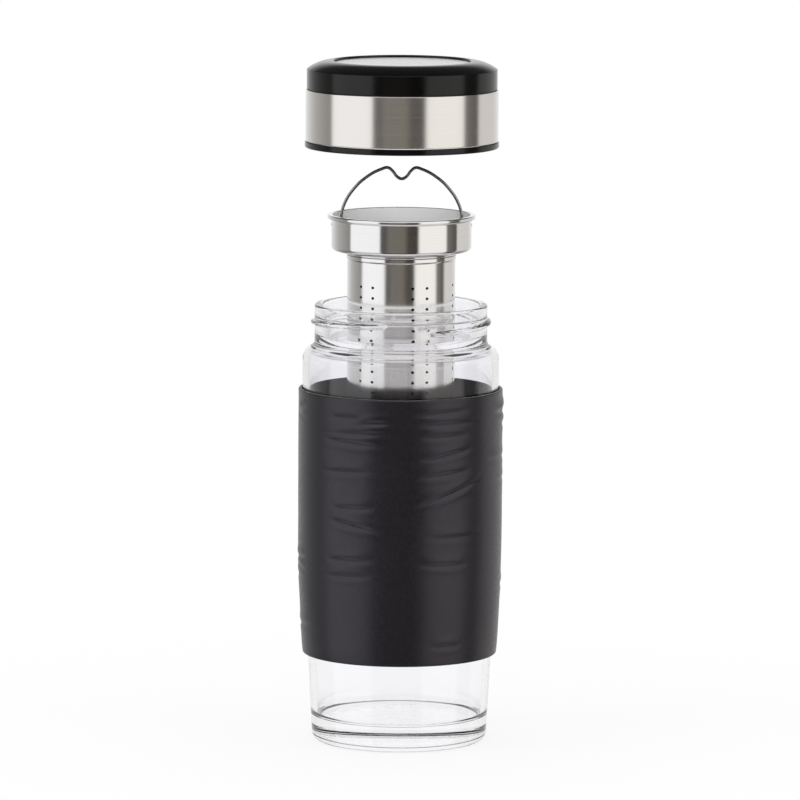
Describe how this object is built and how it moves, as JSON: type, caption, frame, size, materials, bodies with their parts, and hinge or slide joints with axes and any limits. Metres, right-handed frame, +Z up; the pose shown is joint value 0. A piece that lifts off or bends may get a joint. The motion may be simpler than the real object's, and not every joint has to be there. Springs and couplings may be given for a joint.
{
  "type": "tea infuser mug",
  "caption": "Clear glass travel mug with a dark rippled grip sleeve, a perforated steel infuser on a wire bail, and a lugged steel-banded screw lid.",
  "frame": {"origin": "middle of the underside of the glass, on the surface that the mug stands on", "axes": "+Z up along the mug's axis; the bail stands in the XZ plane, and -Y faces the viewer of the picture"},
  "size_m": [0.0724, 0.0724, 0.2424],
  "materials": {
    "clear_glass": "clear, polished",
    "dark_silicone": "matte, moulded ripple",
    "polished_steel": "polished stainless",
    "brushed_steel": "brushed round the lid",
    "black_plastic": "satin black moulding",
    "clear_silicone": "translucent, soft"
  },
  "bodies": {
    "mug": {"glass_tumbler": "clear_glass", "grip_sleeve": "dark_silicone"},
    "infuser": {"infuser_collar": "polished_steel", "infuser_tube": "polished_steel", "infuser_base": "polished_steel"},
    "bail": {"bail_handle": "polished_steel"},
    "lid_seal": {"lid_gasket": "clear_silicone"},
    "lid": {"lid_inner_cap": "black_plastic", "lid_steel_band": "brushed_steel", "lid_top_ring": "black_plastic", "lid_top_disc": "brushed_steel", "lid_base_ring": "black_plastic"}
  },
  "joints": [
    {"name": "infuser_lift", "type": "slide", "parent": "mug", "child": "infuser", "axis": [0, 0, 1], "range_m": [-0.0346, 0.08]},
    {"name": "bail_swing", "type": "hinge", "parent": "infuser", "child": "bail", "pos_m": [0, 0, 0.1842], "axis": [1, 0, 0], "range_deg": [-90, 90]},
    {"name": "lid_lift", "type": "slide", "parent": "infuser", "child": "lid_seal", "axis": [0, 0, 1], "range_m": [-0.0316, 0.06]},
    {"name": "lid_turn", "type": "hinge", "parent": "lid_seal", "child": "lid", "pos_m": [0, 0, 0.2117], "axis": [0, 0, 1], "range_deg": [-60, 0]}
  ]
}
